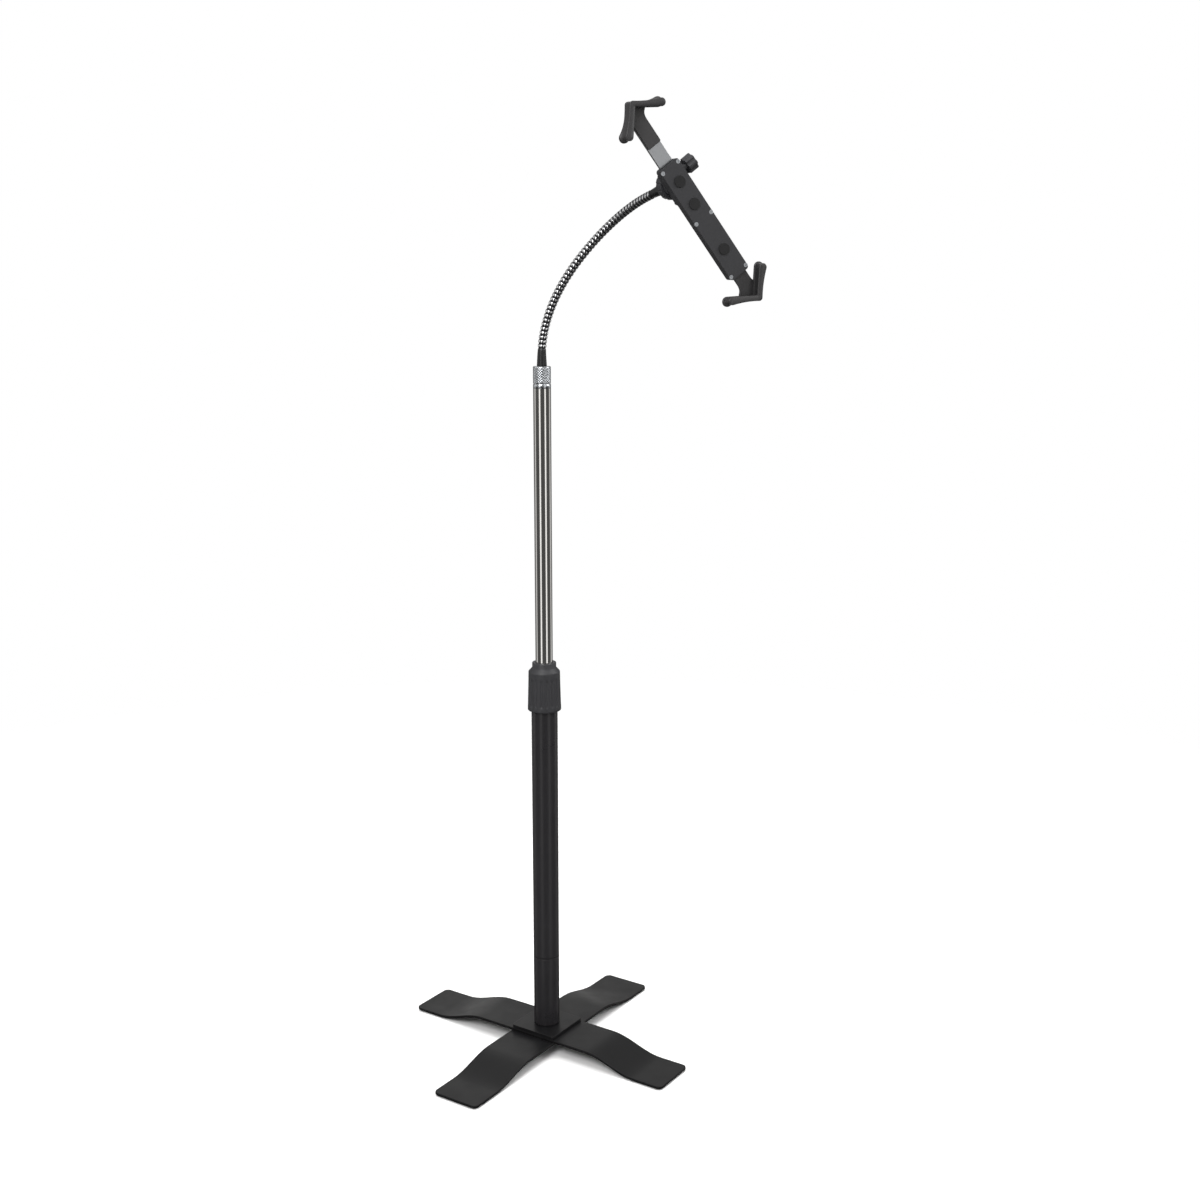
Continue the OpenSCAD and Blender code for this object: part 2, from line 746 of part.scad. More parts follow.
// Grip for the upper left corner of the tablet: a lip in front, fingers over the edges,
// a flange and a fan behind, and a diagonal stem
module corner_grip() {
  difference() {
    union() {
      translate([-tablet_w / 2, 0, tablet_h / 2]) {
        across_grip(lip_front + lip_t, -lip_front) two_fingers(finger_w, finger_len, 0);
        across_grip(lip_front + lip_t / 2, root_rear - stem_t / 2) difference() {
          two_fingers(finger_w, finger_len, lip_rim);
          translate([-finger_gap, finger_gap - 2 * finger_len]) square(2 * finger_len);
        }
        across_grip(stem_t - root_rear, root_rear) {
          two_fingers(finger_back, finger_len + back_reach, 0);
          intersection() {
            circle(fan_r);
            translate([-fan_edge, fan_edge - 2 * fan_r]) square(2 * fan_r);
          }
        }
      }
      intersection() {
        rotate([0, -lean, 0]) across_grip(stem_t - root_rear, root_rear)
          translate([-slide_w / 2, half_diagonal - stem_in]) square([slide_w, stem_in]);
        translate([-tablet_w / 2 - fan_edge, 0, -tablet_h])
          cube([tablet_w, 2 * root_rear, 1.5 * tablet_h + fan_edge]);
      }
    }
    rotate([0, -lean, 0]) stem_screw_places(root_rear)
      translate([0, 0, -2 * stem_t]) cylinder(h = 3 * stem_t, d = screw_d + 2 * fit_gap);
  }
}

// Doubles a lining: along the top edge and along the left edge of the tablet
module both_edges() {
  children();
  rotate([0, 90, 0]) mirror([0, 0, 1]) children();
}

// Rubber linings, one in each finger
module corner_linings() {
  length = finger_len - finger_w / 2 - lining_start;
  low = lining_edge - lip_front;
  high = root_rear - stem_t - lining_edge;
  translate([-tablet_w / 2, 0, tablet_h / 2]) both_edges()
    translate([lining_start + length / 2, (low + high) / 2, lining_gap]) linear_extrude(lining_t - fit_gap)
      rounded_plate(length, high - low, lining_edge);
}

// Grip on the slide bar
module upper_grip() {
  color(moulded_black) at_cradle() corner_grip();
}

module upper_grip_linings() {
  color(rubber_black) at_cradle() corner_linings();
}

module upper_grip_screws() {
  color(zinc) at_rail() stem_screw_places(bar_slide_back - free_gap)
    sunk_screw(screw_d, bar_slide_t + stem_t - 0.6);
}

// Grip fixed to the lower end of the rail
module lower_grip() {
  color(moulded_black) at_cradle() rotate([0, 180, 0]) corner_grip();
}

module lower_grip_linings() {
  color(rubber_black) at_cradle() rotate([0, 180, 0]) corner_linings();
}

module lower_grip_screws() {
  color(zinc) at_rail() lower_grip_places(rail_rear) small_screw(rail_rear - root_rear + stem_t - 0.6);
}

// Lobed knob that locks the slide bar
module lock_knob() {
  color(moulded_black) at_knob() translate([0, 0, knob_boss_h + free_gap]) difference() {
    cylinder(h = knob_h, d = knob_d);
    for (i = [0:knob_lobes - 1])
      rotate(360 * i / knob_lobes) translate([knob_d / 2 + 2.4, 0, -1])
        cylinder(h = knob_h + 2, r = 4, $fn = 32);
    translate([0, 0, -1]) cylinder(h = knob_h - 2, d = knob_stud_d + 2 * fit_gap);
  }
}

// Threaded stud of the lock knob, which presses on the slide bar
module knob_screw() {
  color(zinc) at_knob() translate([0, 0, -rail_wall])
    cylinder(h = rail_wall + knob_boss_h + knob_h - 4, d = knob_stud_d);
}

lower_bar();
upper_bar();
foot_pads();
pole_foot();
base_bolt();
base_washer();
base_screws();
base_post();
post_plug();
joint_plug();
outer_tube();
collet_bush();
lock_collar();
glide_bush();
inner_tube();
end_plug();
ferrule();
lower_sleeve();
neck_link(1);  // neck_link_1
neck_link(2);  // neck_link_2
neck_link(3);  // neck_link_3
neck_link(4);  // neck_link_4
neck_link(5);  // neck_link_5
neck_link(6);  // neck_link_6
neck_link(7);  // neck_link_7
neck_link(8);  // neck_link_8
neck_link(9);  // neck_link_9
neck_link(10);  // neck_link_10
neck_link(11);  // neck_link_11
neck_link(12);  // neck_link_12
upper_sleeve();
ball_stud();
ball();
ball_seat();
socket_cup();
socket_screws();
clamp_ring();
rail_channel();
rail_cover();
cover_screws();
back_buffers();
slide_bar();
upper_grip();
upper_grip_linings();
upper_grip_screws();
lower_grip();
lower_grip_linings();
lower_grip_screws();
lock_knob();
knob_screw();
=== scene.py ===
import json
import math

import bmesh
import bpy
from mathutils import Matrix, Vector


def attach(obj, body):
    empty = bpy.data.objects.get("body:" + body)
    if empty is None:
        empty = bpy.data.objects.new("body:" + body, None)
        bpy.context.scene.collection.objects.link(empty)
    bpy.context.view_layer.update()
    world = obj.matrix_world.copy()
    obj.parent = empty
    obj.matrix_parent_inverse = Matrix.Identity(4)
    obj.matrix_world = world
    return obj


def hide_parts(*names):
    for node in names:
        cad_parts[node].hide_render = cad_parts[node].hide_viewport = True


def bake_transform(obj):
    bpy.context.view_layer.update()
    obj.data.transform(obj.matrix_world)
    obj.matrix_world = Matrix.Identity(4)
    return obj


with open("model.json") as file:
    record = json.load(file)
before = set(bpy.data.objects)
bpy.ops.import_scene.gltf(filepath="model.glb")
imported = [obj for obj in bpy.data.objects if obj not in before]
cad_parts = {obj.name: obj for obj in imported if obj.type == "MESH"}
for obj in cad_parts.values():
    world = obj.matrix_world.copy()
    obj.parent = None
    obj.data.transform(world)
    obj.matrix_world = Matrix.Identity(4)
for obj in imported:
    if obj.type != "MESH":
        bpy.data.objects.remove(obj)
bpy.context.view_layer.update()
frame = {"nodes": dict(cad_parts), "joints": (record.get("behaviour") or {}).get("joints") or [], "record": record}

# Camera and room
# The stand is seen from the front left at about chest height, in a white studio with a
# pale floor. Tall strip lights stand round it, so upright tubes show bright streaks.
MM = 0.001
CAMERA_PLACE = (-0.7411, -2.1126, 1.1793)
LOOKS_DOWN = 12.527
LOOKS_RIGHT = 21.387
scene = bpy.context.scene
scene.view_settings.view_transform = "Standard"
camera_data = bpy.data.cameras.new("camera")
camera_data.sensor_width = 36
camera_data.lens = 48.22
camera_data.clip_end = 100
camera = bpy.data.objects.new("camera", camera_data)
camera.location = CAMERA_PLACE
camera.rotation_euler = (math.radians(90 - LOOKS_DOWN), 0, math.radians(-LOOKS_RIGHT))
scene.collection.objects.link(camera)
scene.camera = camera


def linear(hex_colour):
    """Linear RGBA of an sRGB hex colour."""
    parts = [int(hex_colour[i:i + 2], 16) / 255 for i in (1, 3, 5)]
    return [p / 12.92 if p <= 0.04045 else ((p + 0.055) / 1.055) ** 2.4 for p in parts] + [1.0]


def add_node(tree, kind, inputs=(), **settings):
    """Adds a node. Settings are attributes. Inputs go by socket or, in a tuple, in order. Each
    is a value, a socket, or a node whose first output is meant."""
    node = tree.nodes.new(kind)
    for key, value in settings.items():
        setattr(node, key, value)
    for key, value in inputs.items() if isinstance(inputs, dict) else enumerate(inputs):
        if isinstance(value, bpy.types.Node):
            value = value.outputs[0]
        if isinstance(value, bpy.types.NodeSocket):
            tree.links.new(value, node.inputs[key])
        else:
            node.inputs[key].default_value = value
    return node


# Five strips a turn, brightest in front of the stand, on walls that darken towards the floor
STRIPS = 5.0
STRIP_TURN = math.radians(80)
FRONT_WAY = (-0.272, -0.962, 0)
room = bpy.data.worlds.new("studio")
scene.world = room
room.use_nodes = True
tree = room.node_tree
tree.nodes.clear()
way = add_node(tree, "ShaderNodeTexCoord").outputs["Generated"]
axis = add_node(tree, "ShaderNodeSeparateXYZ", (way,))
up = axis.outputs["Z"]
around = add_node(tree, "ShaderNodeMath", (axis.outputs["Y"], axis.outputs["X"]),
                  operation="ARCTAN2")
phase = add_node(tree, "ShaderNodeMath", (around, STRIPS, STRIP_TURN), operation="MULTIPLY_ADD")
wave = add_node(tree, "ShaderNodeMath", (phase,), operation="SINE")
front = add_node(tree, "ShaderNodeVectorMath", (way, FRONT_WAY), operation="DOT_PRODUCT")
facing = front.outputs["Value"]
lamps = add_node(tree, "ShaderNodeMapRange", (wave, 0.55, 0.85, 0.0, 1.4))
ahead = add_node(tree, "ShaderNodeMapRange", (facing, -0.4, 0.4, 0.45, 1.0))
strips = add_node(tree, "ShaderNodeMath", (lamps, ahead), operation="MULTIPLY")
plain = add_node(tree, "ShaderNodeMapRange", (facing, -0.6, 0.2, 0.22, 0.1))
walls = add_node(tree, "ShaderNodeMath", (strips, plain), operation="ADD")
darker = add_node(tree, "ShaderNodeMapRange", (up, -0.5, -0.28, 0.15, 1.0))
walls = add_node(tree, "ShaderNodeMath", (walls, darker), operation="MULTIPLY")
# A panel on the left draws the row of bright dots along the gooseneck
PANEL_WAY = (-0.978, 0.182, 0.1)
beam = add_node(tree, "ShaderNodeVectorMath", (way, PANEL_WAY), operation="DOT_PRODUCT")
glow = add_node(tree, "ShaderNodeMapRange", (beam.outputs["Value"], 0.94, 0.975, 0.0, 0.95))
above = add_node(tree, "ShaderNodeMapRange", (up, -0.05, 0.05, 0.0, 1.0))
panel = add_node(tree, "ShaderNodeMath", (glow, above), operation="MULTIPLY")
ceiling = add_node(tree, "ShaderNodeMapRange", (up, 0.4, 0.85, 0.0, 0.75))
level = add_node(tree, "ShaderNodeMath", (walls, ceiling), operation="MAXIMUM")
level = add_node(tree, "ShaderNodeMath", (level, panel), operation="MAXIMUM")
lit = add_node(tree, "ShaderNodeBackground", (linear("#fffefc"), level))
seen = add_node(tree, "ShaderNodeBackground", (linear("#ffffff"), 1.0))
path = add_node(tree, "ShaderNodeLightPath")
both = add_node(tree, "ShaderNodeMixShader", (path.outputs["Is Camera Ray"], lit, seen))
add_node(tree, "ShaderNodeOutputWorld", (both,))

LIGHTS_AIM = Vector((0, 0, 0.7))
for name, spot, size, power in (
    ("key_light", (-1.7, -1.9, 2.6), 1.4, 65),
    ("fill_light", (2.4, -1.2, 2.2), 1.4, 35),
    ("top_light", (0.0, 0.4, 3.2), 2.4, 75),
):
    light_data = bpy.data.lights.new(name, "AREA")
    light_data.energy = power
    light_data.size = size
    light = bpy.data.objects.new(name, light_data)
    light.location = spot
    light.rotation_euler = (LIGHTS_AIM - Vector(spot)).to_track_quat("-Z", "Y").to_euler()
    # The broad light overhead isn't mirrored, or the gooseneck would look white from behind
    light.visible_glossy = name != "top_light"
    scene.collection.objects.link(light)


def new_material(name):
    """A material with one shader, and its node tree."""
    material = bpy.data.materials.new(name)
    material.use_nodes = True
    return material, material.node_tree, material.node_tree.nodes["Principled BSDF"]


# Floor paint: pale and matt. It fades out round the stand, so that floor and room run together
FLOOR_R = 2.1
FADE_FROM = 0.7
MOTTLE_MM = 500
floor_paint, tree, shader = new_material("floor_paint")
place = add_node(tree, "ShaderNodeTexCoord").outputs["Object"]
mottle = add_node(tree, "ShaderNodeTexNoise",
                  {"Vector": place, "Scale": 1 / (MOTTLE_MM * MM), "Detail": 3.0})
tone = add_node(tree, "ShaderNodeMix", {0: mottle, 6: linear("#f4f4f4"), 7: linear("#fafafa")},
                data_type="RGBA")
tree.links.new(tone.outputs[2], shader.inputs["Base Color"])
shader.inputs["Roughness"].default_value = 0.85
spread = add_node(tree, "ShaderNodeVectorMath", (place,), operation="LENGTH").outputs["Value"]
fade = add_node(tree, "ShaderNodeMapRange", (spread, FADE_FROM, FLOOR_R, 0.0, 1.0))
clear = add_node(tree, "ShaderNodeBsdfTransparent")
faded = add_node(tree, "ShaderNodeMixShader", (fade, shader, clear))
tree.links.new(faded.outputs[0], tree.nodes["Material Output"].inputs["Surface"])
floor_mesh = bpy.data.meshes.new("floor")
bm = bmesh.new()
bmesh.ops.create_circle(bm, cap_ends=True, radius=FLOOR_R, segments=96)
bm.to_mesh(floor_mesh)
bm.free()
floor = bpy.data.objects.new("floor", floor_mesh)
floor_mesh.materials.append(floor_paint)
scene.collection.objects.link(floor)
floor.visible_glossy = False

# Crossed legs
# Two bars of 76 x 4 mm flat steel, cut with round corners, pressed to a soft S-bend at each
# end and powder coated satin black. The upper bar is bent higher by one thickness.
BAR_LENGTH = 450 * MM
BAR_WIDTH = 76 * MM
BAR_THICK = 4 * MM
BAR_EDGE = 0.7 * MM
BAR_CUTS = 40
FOOT_LENGTH = 45 * MM
RAMP_LENGTH = 85 * MM
FOOT_CORNER = 8 * MM
PAD_THICK = 2 * MM
LOWER_RISE = 14.5 * MM
LEG_TURN = -55
GRAIN_HEIGHT = 0.2 * MM
CLOUD_MM = 35.714


def coating(name, dark, light, rough, grain_mm, depth, ior=1.5):
    """Sprayed or moulded black: tone and gloss drift in soft clouds over a fine grain."""
    material, tree, shader = new_material(name)
    place = add_node(tree, "ShaderNodeTexCoord").outputs["Object"]
    fine = add_node(tree, "ShaderNodeTexNoise",
                    {"Vector": place, "Scale": 1 / (grain_mm * MM), "Detail": 2.0})
    bump = add_node(tree, "ShaderNodeBump",
                    {"Height": fine, "Strength": depth, "Distance": GRAIN_HEIGHT})
    clouds = add_node(tree, "ShaderNodeTexNoise",
                      {"Vector": place, "Scale": 1 / (CLOUD_MM * MM), "Detail": 4.0})
    tone = add_node(tree, "ShaderNodeMix", {0: clouds, 6: linear(dark), 7: linear(light)},
                    data_type="RGBA")
    gloss = add_node(tree, "ShaderNodeMapRange", (clouds, 0.3, 0.7, *rough))
    tree.links.new(tone.outputs[2], shader.inputs["Base Color"])
    tree.links.new(gloss.outputs[0], shader.inputs["Roughness"])
    tree.links.new(bump.outputs[0], shader.inputs["Normal"])
    shader.inputs["IOR"].default_value = ior
    return material


# Baked polyester powder: a slight orange peel of about 1.5 mm under a soft grey sheen
powder_coat = coating("satin_powder_coat", "#0e0e0f", "#151516", (0.34, 0.46), 1.5, 0.25, ior=1.34)


def new_piece(bm, name, material, body, slot, *nodes, sharp=40, bevel=0.0, flat=False):
    """Turns a bmesh, drawn in place, into a piece that rides on a body and replaces nodes."""
    mesh = bpy.data.meshes.new(name)
    bm.to_mesh(mesh)
    bm.free()
    mesh.materials.append(material)
    mesh.shade_smooth()
    mesh.set_sharp_from_angle(angle=math.radians(sharp))
    piece = bpy.data.objects.new(name, mesh)
    scene.collection.objects.link(piece)
    if bevel:
        edge = piece.modifiers.new("edge", "BEVEL")
        edge.width = bevel
        edge.segments = 2
        edge.limit_method = "ANGLE"
        edge.angle_limit = math.radians(sharp)
        edge.harden_normals = True
    if flat:
        # Wide flat faces stay flat to the eye between their rounded edges
        even = piece.modifiers.new("even", "WEIGHTED_NORMAL")
        even.keep_sharp = True
    if body:
        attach(piece, body)
    if nodes:
        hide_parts(*nodes)
    return piece


def leg_lift(x, rise):
    """Height of the bar's underside above its feet, at x along the bar."""
    run = (BAR_LENGTH / 2 - FOOT_LENGTH - abs(x)) / RAMP_LENGTH
    return rise * (1 - math.cos(math.pi * min(1, max(0, run)))) / 2


def cut_plate(size, corner, segments):
    """A flat rectangle of steel about the origin, with its upright corners rounded."""
    bm = bmesh.new()
    bmesh.ops.create_cube(bm, size=1)
    bmesh.ops.scale(bm, vec=size, verts=bm.verts)
    upright = [e for e in bm.edges if abs(e.verts[0].co.z - e.verts[1].co.z) > size[2] / 2]
    bmesh.ops.bevel(bm, geom=upright, offset=corner, segments=segments, profile=0.5,
                    affect="EDGES", material=-1)
    return bm


def slice_across(bm, at):
    """Cuts a form across at one place along X."""
    bmesh.ops.bisect_plane(bm, geom=bm.verts[:] + bm.edges[:] + bm.faces[:], plane_co=(at, 0, 0),
                           plane_no=(1, 0, 0))


for name, turn, rise in (
    ("lower_bar", LEG_TURN + 90, LOWER_RISE),
    ("upper_bar", LEG_TURN, LOWER_RISE + BAR_THICK),
):
    bm = cut_plate((BAR_LENGTH, BAR_WIDTH, BAR_THICK), FOOT_CORNER, 6)
    for step in range(-BAR_CUTS, BAR_CUTS + 1):
        slice_across(bm, step / BAR_CUTS * (BAR_LENGTH / 2 - FOOT_LENGTH))
    for v in bm.verts:
        v.co.z += PAD_THICK + BAR_THICK / 2 + leg_lift(v.co.x, rise)
    bmesh.ops.rotate(bm, cent=(0, 0, 0), matrix=Matrix.Rotation(math.radians(turn), 3, "Z"),
                     verts=bm.verts)
    new_piece(bm, name + "_steel", powder_coat, "base", "black_steel", name, bevel=BAR_EDGE)

# Foot pads
# Four moulded rubber pads, glued under the feet so that the steel clears the floor.
# They are matt and slightly dusty.
def finish_nodes(material, *names):
    """Gives carried-over nodes their material."""
    for name in names:
        mesh = frame["nodes"][name].data
        mesh.materials.clear()
        mesh.materials.append(material)


# Moulded rubber: no shine, and a fine grain, drawn 0.8 mm wide so that it shows
moulded_rubber = coating("moulded_rubber", "#101011", "#19191a", (0.75, 0.9), 0.8, 0.35)
finish_nodes(moulded_rubber, "foot_pads")

# Pole foot
# A square steel plate the width of a leg, laser cut and coated like the legs. It lies on the
# crossing and the post stands on it.
PLATE_THICK = 5 * MM
PLATE_CORNER = 4 * MM
PLATE_EDGE = 0.6 * MM
CROSS_TOP = PAD_THICK + LOWER_RISE + 2 * BAR_THICK
POST_FOOT = CROSS_TOP + PLATE_THICK
bm = cut_plate((BAR_WIDTH, BAR_WIDTH, PLATE_THICK), PLATE_CORNER, 5)
bmesh.ops.translate(bm, vec=(0, 0, CROSS_TOP + PLATE_THICK / 2), verts=bm.verts)
bmesh.ops.rotate(bm, cent=(0, 0, 0), matrix=Matrix.Rotation(math.radians(LEG_TURN), 3, "Z"),
                 verts=bm.verts)
new_piece(bm, "pole_foot_plate", powder_coat, "base", "black_steel", "pole_foot",
          bevel=PLATE_EDGE)

# Base fasteners and plugs
# A zinc plated bolt, its washer and four screws come up from below; the plugs that they and the
# tubes hold on to are turned steel. All of it is out of sight once the stand is on the floor.
def metal(name, dark, light, rough, spot_mm):
    """Bare or plated metal: tone and gloss vary in spots of a size given along X, Y and Z."""
    material, tree, shader = new_material(name)
    place = add_node(tree, "ShaderNodeTexCoord").outputs["Object"]
    stretch = add_node(tree, "ShaderNodeMapping",
                       {"Vector": place, "Scale": [1 / (size * MM) for size in spot_mm]})
    spots = add_node(tree, "ShaderNodeTexNoise",
                     {"Vector": stretch.outputs[0], "Scale": 1.0, "Detail": 4.0})
    tone = add_node(tree, "ShaderNodeMix", {0: spots, 6: linear(dark), 7: linear(light)},
                    data_type="RGBA")
    gloss = add_node(tree, "ShaderNodeMapRange", (spots, 0.3, 0.7, *rough))
    tree.links.new(tone.outputs[2], shader.inputs["Base Color"])
    tree.links.new(gloss.outputs[0], shader.inputs["Roughness"])
    shader.inputs["Metallic"].default_value = 1.0
    return material


# Passivated zinc plate: pale grey with a dull, cloudy shine
zinc_plate = metal("zinc_plated_steel", "#8f9296", "#b9bcc0", (0.28, 0.45), (4, 4, 4))
finish_nodes(zinc_plate, "base_bolt", "base_washer", "base_screws", "post_plug", "joint_plug")

# Black pole
# Two lengths of 38 mm steel tube, the lower one the base post. A small step turned round their
# ends leaves a fine dark groove at the seam. The enamel is glossier than the legs' powder coat.
TUBE_R = 19 * MM
TUBE_WALL = 1.5 * MM
SEAM = 138.5 * MM
TUBE_TOP = 545 * MM
STEP_HEIGHT = 1.1 * MM
STEP_DEPTH = 1.0 * MM
STEP_EDGE = 0.2 * MM
# Stoved enamel: smooth enough to draw the lights as soft upright streaks
gloss_enamel = coating("gloss_black_enamel", "#201f21", "#252426", (0.27, 0.31), 2.5, 0.06,
                       ior=1.36)


def turned(profile, steps=96):
    """Spins a profile of (radius, height) points about Z to a closed form."""
    bm = bmesh.new()
    points = [bm.verts.new((r, 0, z)) for r, z in profile]
    lines = [bm.edges.new(pair) for pair in zip(points, points[1:])]
    bmesh.ops.spin(bm, geom=points + lines, cent=(0, 0, 0), axis=(0, 0, 1), angle=2 * math.pi,
                   steps=steps, use_merge=True)
    bmesh.ops.remove_doubles(bm, verts=bm.verts, dist=1e-6)
    bmesh.ops.recalc_face_normals(bm, faces=bm.faces)
    return bm


for name, low, high in (("base_post", POST_FOOT, SEAM), ("outer_tube", SEAM, TUBE_TOP)):
    inner, groove = TUBE_R - TUBE_WALL, TUBE_R - STEP_DEPTH
    # The second point on each straight side keeps the shading of the long wall even
    profile = [(inner, low), (groove, low), (groove, low + STEP_HEIGHT - STEP_EDGE),
               (TUBE_R - STEP_EDGE, low + STEP_HEIGHT - STEP_EDGE), (TUBE_R, low + STEP_HEIGHT),
               (TUBE_R, low + 2 * STEP_HEIGHT), (TUBE_R, high - 2 * STEP_HEIGHT),
               (TUBE_R, high - STEP_HEIGHT), (TUBE_R - STEP_EDGE, high - STEP_HEIGHT + STEP_EDGE),
               (groove, high - STEP_HEIGHT + STEP_EDGE), (groove, high), (inner, high),
               (inner, low)]
    new_piece(turned(profile), name + "_tube", gloss_enamel, "base", "black_steel", name, sharp=50)

# Collet
# A split bush moulded in black plastic sits in the tube's mouth, and the collar squeezes it on to
# the chrome tube. The glide and the end plug on the tube's foot are moulded from the same stock.

# Moulded ABS: a spark-eroded grain breaks up its shine, drawn 0.7 mm wide or it wouldn't show
moulded_black = coating("moulded_black_abs", "#242427", "#2c2c2f", (0.42, 0.55), 0.7, 0.3)
finish_nodes(moulded_black, "collet_bush", "glide_bush", "end_plug")

# Twist collar
# One ABS moulding with wide grip flutes, a sloping shoulder and a narrow ring on top. It turns on
# the end of the black pole and squeezes the collet.
LOCK_FOOT = 520 * MM
LOCK_HEIGHT = 71
LOCK_R = 24.2
LOCK_TAPER = 1.5
LOCK_BORE = 19.3
RIM_ROUND = 1.6
SIDE_FOOT = 3
SIDE_HEIGHT = 54.4
SIDE_CUTS = 48
RING_R = 17.3
RING_BORE = 12.8
FLUTES = 18
FLUTE_DEPTH = 1.0 * MM
FLUTE_FOOT = 7
FLUTE_TOP = 49
FLUTE_END = 2.5
FLUTE_SPREAD = 0.25
FLUTED_FROM = 21 * MM
outline = [(LOCK_BORE, 0)]
side = [SIDE_FOOT + SIDE_HEIGHT * k / SIDE_CUTS for k in range(1, SIDE_CUTS + 1)]
for z in [0, 0.6, RIM_ROUND, SIDE_FOOT] + side:
    edge = RIM_ROUND - math.sqrt(max(0, RIM_ROUND ** 2 - (RIM_ROUND - min(RIM_ROUND, z)) ** 2))
    outline.append((LOCK_R - LOCK_TAPER * max(0, z - SIDE_FOOT) / SIDE_HEIGHT - edge, z))
outline += [(22.3, 58.2), (17.8, 63.0), (RING_R, 63.8), (RING_R, 70.0), (17.0, 70.7),
            (16.3, LOCK_HEIGHT), (RING_BORE, LOCK_HEIGHT), (RING_BORE, 63.3), (LOCK_BORE, 40),
            (LOCK_BORE, 0)]
bm = turned([(r * MM, LOCK_FOOT + z * MM) for r, z in outline], steps=FLUTES * 12)
for v in bm.verts:
    reach = math.hypot(v.co.x, v.co.y)
    z = (v.co.z - LOCK_FOOT) / MM
    if reach > FLUTED_FROM and FLUTE_FOOT < z < FLUTE_TOP:
        # Each flute is a shallow hollow that runs out softly at both ends
        across = math.cos(FLUTES * math.atan2(v.co.y, v.co.x))
        along = min(1, (z - FLUTE_FOOT) / FLUTE_END, (FLUTE_TOP - z) / FLUTE_END)
        cut = FLUTE_DEPTH * max(0, across + FLUTE_SPREAD) / (1 + FLUTE_SPREAD) * along
        v.co.x *= 1 - cut / reach
        v.co.y *= 1 - cut / reach
new_piece(bm, "twist_collar", moulded_black, "lock_collar", "black_plastic", "lock_collar",
          sharp=50)

# Chrome tube
# Drawn steel tube of 25 mm, polished and chrome plated. It telescopes in the black pole, and a
# rolled bead near its foot, out of sight, stops it from being pulled out.
INNER_R = 12.5 * MM
INNER_WALL = 1.5 * MM
INNER_TOP = 983 * MM
INNER_FOOT = 423 * MM
BEAD = ((12.5, 453.6), (13.6, 454.0), (14.0, 454.85), (13.6, 455.7), (12.5, 456.1))
# Chrome plate: nearly a mirror, with faint polishing streaks along the tube
chrome_plate = metal("chrome_plate", "#bfbebc", "#d6d5d3", (0.07, 0.12), (16.667, 16.667, 166.67))
profile = [(INNER_R - INNER_WALL, INNER_FOOT), (INNER_R, INNER_FOOT)]
profile += [(r * MM, z * MM) for r, z in BEAD]
profile += [(INNER_R, INNER_TOP), (INNER_R - INNER_WALL, INNER_TOP),
            (INNER_R - INNER_WALL, INNER_FOOT)]
new_piece(turned(profile), "chrome_tube", chrome_plate, "upper_pole", "chrome", "inner_tube",
          sharp=50)

# Ferrule
# A turned and nickel plated sleeve with a rolled diamond knurl, a groove and a plain polished
# band at its foot. It is pressed into the chrome tube and takes the gooseneck's stem.
KNURLS = 20
KNURL_LOW = 7.2
KNURL_HIGH = 28.4
KNURL_CLIMB = 3.53
KNURL_STAND = 0.42 * MM
KNURL_SUNK = 0.12 * MM
KNURLED_FROM = 12 * MM
# Worn nickel: bright and dull spots. Spots and knurl are coarser than real ones, so that they show
nickel_knurl = metal("knurled_nickel", "#979ca3", "#eceff2", (0.2, 0.3),
                     (3.8462, 3.8462, 3.8462))
levels = [KNURL_LOW + (KNURL_HIGH - KNURL_LOW) * k / 48 for k in range(49)]
outline = [(5.1, -30), (10.9, -30), (10.9, 0), (12.2, 0), (12.5, 0.3), (12.5, 5.0), (12.3, 5.3),
           (12.0, 5.5), (12.0, 6.3), (12.1, 6.8)]
outline += [(12.2, z) for z in levels] + [(12.1, 29.4), (11.7, 30), (5.1, 30), (5.1, -30)]
bm = turned([(r * MM, INNER_TOP + z * MM) for r, z in outline], steps=KNURLS * 8)
for v in bm.verts:
    z = (v.co.z - INNER_TOP) / MM
    reach = math.hypot(v.co.x, v.co.y)
    if reach > KNURLED_FROM and KNURL_LOW < z < KNURL_HIGH:
        # Two crossed helices of grooves leave raised diamonds
        turn = math.atan2(v.co.y, v.co.x) * KNURLS / 2
        climb = math.pi * (z - KNURL_LOW) / KNURL_CLIMB
        stand = KNURL_STAND * min(abs(math.cos(turn + climb)), abs(math.cos(turn - climb)))
        v.co.x *= 1 + (stand - KNURL_SUNK) / reach
        v.co.y *= 1 + (stand - KNURL_SUNK) / reach
new_piece(bm, "knurled_ferrule", nickel_knurl, "upper_pole", "silver", "ferrule", sharp=60)

# Gooseneck
# A flexible hose of hardened strip wound into flat ribs 6 mm apart and chrome plated, with a short
# black sleeve at each end. Its curve runs through the frame's neck joints, one piece over each.
RIB_PITCH = 6 * MM
HALF_LINK = 12 * MM
GROOVE_R = 5.0
CREST_R = 5.8 * MM
RIB_SIDE = ((2.2, 5.0), (2.05, 5.3), (1.85, 5.58), (1.55, 5.78), (1.15, 5.89), (0.6, 5.96))
RIB = [(-along, r) for along, r in RIB_SIDE] + [(0, 5.98)] + list(RIB_SIDE[::-1])
neck_joints = [j for j in frame["joints"] if j["child"].startswith("neck_")]
ball_joint = next(j for j in frame["joints"] if j["name"] == "ball_spin")
bend_at = [Vector(j["pos_m"]) for j in neck_joints]
run_to = bend_at[1:] + [Vector(ball_joint["pos_m"])]
ways = [Vector((0, 0, 1))] + [(b - a).normalized() for a, b in zip(bend_at, run_to)]
# Chrome plated strip: its polished crests throw a row of bright dots
hose_chrome = metal("chromed_hose_wire", "#dadbdd", "#f0f1f2", (0.08, 0.14),
                    (5.5556, 5.5556, 5.5556))
